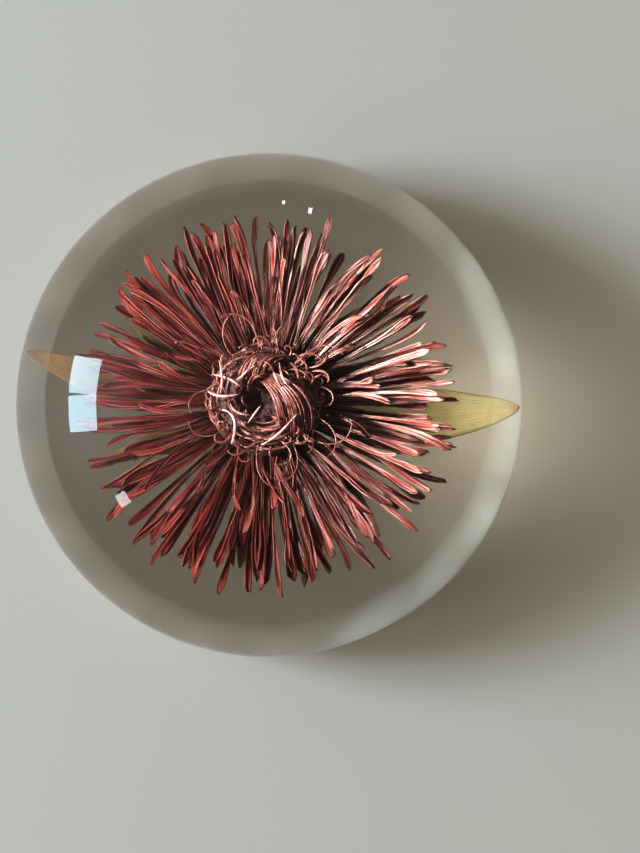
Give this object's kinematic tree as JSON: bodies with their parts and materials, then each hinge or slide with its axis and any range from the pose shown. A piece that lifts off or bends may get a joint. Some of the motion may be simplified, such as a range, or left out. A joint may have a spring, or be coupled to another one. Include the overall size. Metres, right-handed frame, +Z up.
{
  "type": "dried flower sealed in a clear resin dome",
  "caption": "Dried dark-red flower with narrow petals and two long leaves, sealed in a clear, low resin dome with a flat foot.",
  "frame": {"origin": "centre of the flat foot that the block stands on", "axes": "+Z up along the dome's axis, +X towards the longer leaf, +Y towards the far side of the block"},
  "size_m": [0.08, 0.08, 0.0316],
  "materials": {
    "clear_resin": "polished clear casting resin",
    "petal": "dried petal, satin",
    "stamen": "dried thread, satin",
    "calyx": "dried leaf, satin"
  },
  "bodies": {
    "root": {"resin_upper": "clear_resin", "resin_lower": "clear_resin", "calyx": "calyx", "petals": "petal", "stamens": "stamen"}
  },
  "joints": []
}
